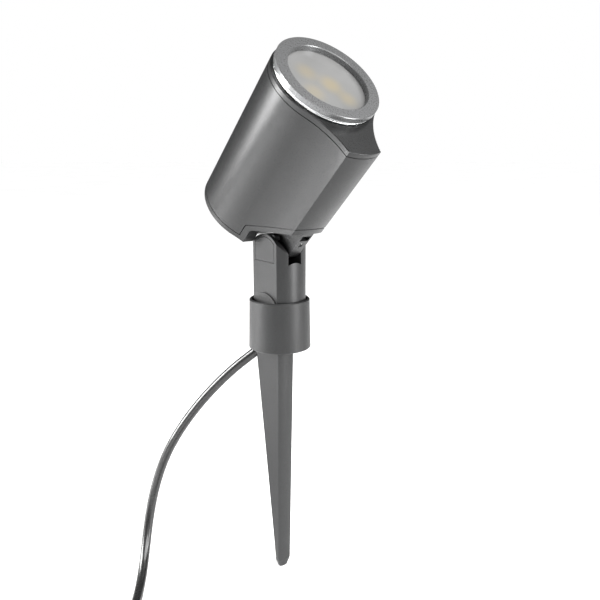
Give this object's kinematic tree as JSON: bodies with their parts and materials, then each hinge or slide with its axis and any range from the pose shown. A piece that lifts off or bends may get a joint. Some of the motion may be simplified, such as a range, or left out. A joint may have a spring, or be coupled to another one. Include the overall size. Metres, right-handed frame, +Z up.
{
  "type": "light projector stake",
  "caption": "Garden light projector on a ground spike: a tilting, swivelling lamp head with a bayonet bezel and frosted glass, and a mains cord with plug.",
  "frame": {"origin": "centre of the collar's underside, where the stake meets the ground", "axes": "+Z up along the stake, -Y the way the lamp head leans, X along the tilt hinge"},
  "size_m": [0.2755, 0.2023, 0.4605],
  "materials": {
    "housing": "fine powder coat, anthracite",
    "post": "fine powder coat, anthracite",
    "bezel": "smooth satin, graphite",
    "bright_ring": "bright knurled",
    "glass": "frosted",
    "stake": "fine grained, anthracite",
    "seal": "matt",
    "fastener": "stainless",
    "inner_metal": "satin",
    "ceramic": "off-white",
    "lamp": "warm white diffuser",
    "guide": "black",
    "cord": "smooth black rubber sheath",
    "relief": "matt black",
    "tie": "black nylon",
    "plug": "moulded black rubber",
    "pins": "nickel plated"
  },
  "bodies": {
    "stake": {"ground_spike": "stake", "swivel_lock_screw": "fastener", "thrust_washer": "seal", "cord_relief": "relief", "mains_cord": "cord", "cord_tail": "cord", "cord_coil": "cord", "coil_tie": "tie", "plug_relief": "plug", "plug_body": "plug", "plug_pins": "pins"},
    "post": {"post_bracket": "post", "hinge_cover_left": "post", "hinge_cover_right": "post", "flat_seal_left": "seal", "flat_seal_right": "seal", "friction_washer_left": "seal", "friction_washer_right": "seal", "hinge_bolt": "fastener", "hinge_nut": "fastener", "lead_guide_pin": "guide", "post_lead": "cord"},
    "head": {"head_housing": "housing", "front_cap": "housing", "rear_cap": "housing", "hinge_tongue": "housing", "front_gasket": "seal", "rear_gasket": "seal", "rear_cap_screws": "fastener", "tongue_screws": "fastener", "led_lamp": "lamp", "lamp_holder": "ceramic", "lamp_carrier": "inner_metal", "terminal_block": "ceramic", "terminal_shelf": "inner_metal", "head_lead": "cord"},
    "bezel": {"bezel_ring": "bezel", "knurled_ring": "bright_ring", "glass_lens": "glass", "lens_gasket": "seal", "lens_retainer": "inner_metal", "bezel_seal": "seal"}
  },
  "joints": [
    {"name": "post_swivel", "type": "hinge", "parent": "stake", "child": "post", "pos_m": [0, 0, 0.03], "axis": [0, 0, 1], "range_deg": [-170, 170]},
    {"name": "head_tilt", "type": "hinge", "parent": "post", "child": "head", "pos_m": [0, 0, 0.0857], "axis": [1, 0, 0], "range_deg": [-28, 18]},
    {"name": "bezel_twist", "type": "hinge", "parent": "head", "child": "bezel", "pos_m": [0, -0.0582, 0.21288], "axis": [0, -0.7222, 0.6916], "range_deg": [0, 30]}
  ]
}
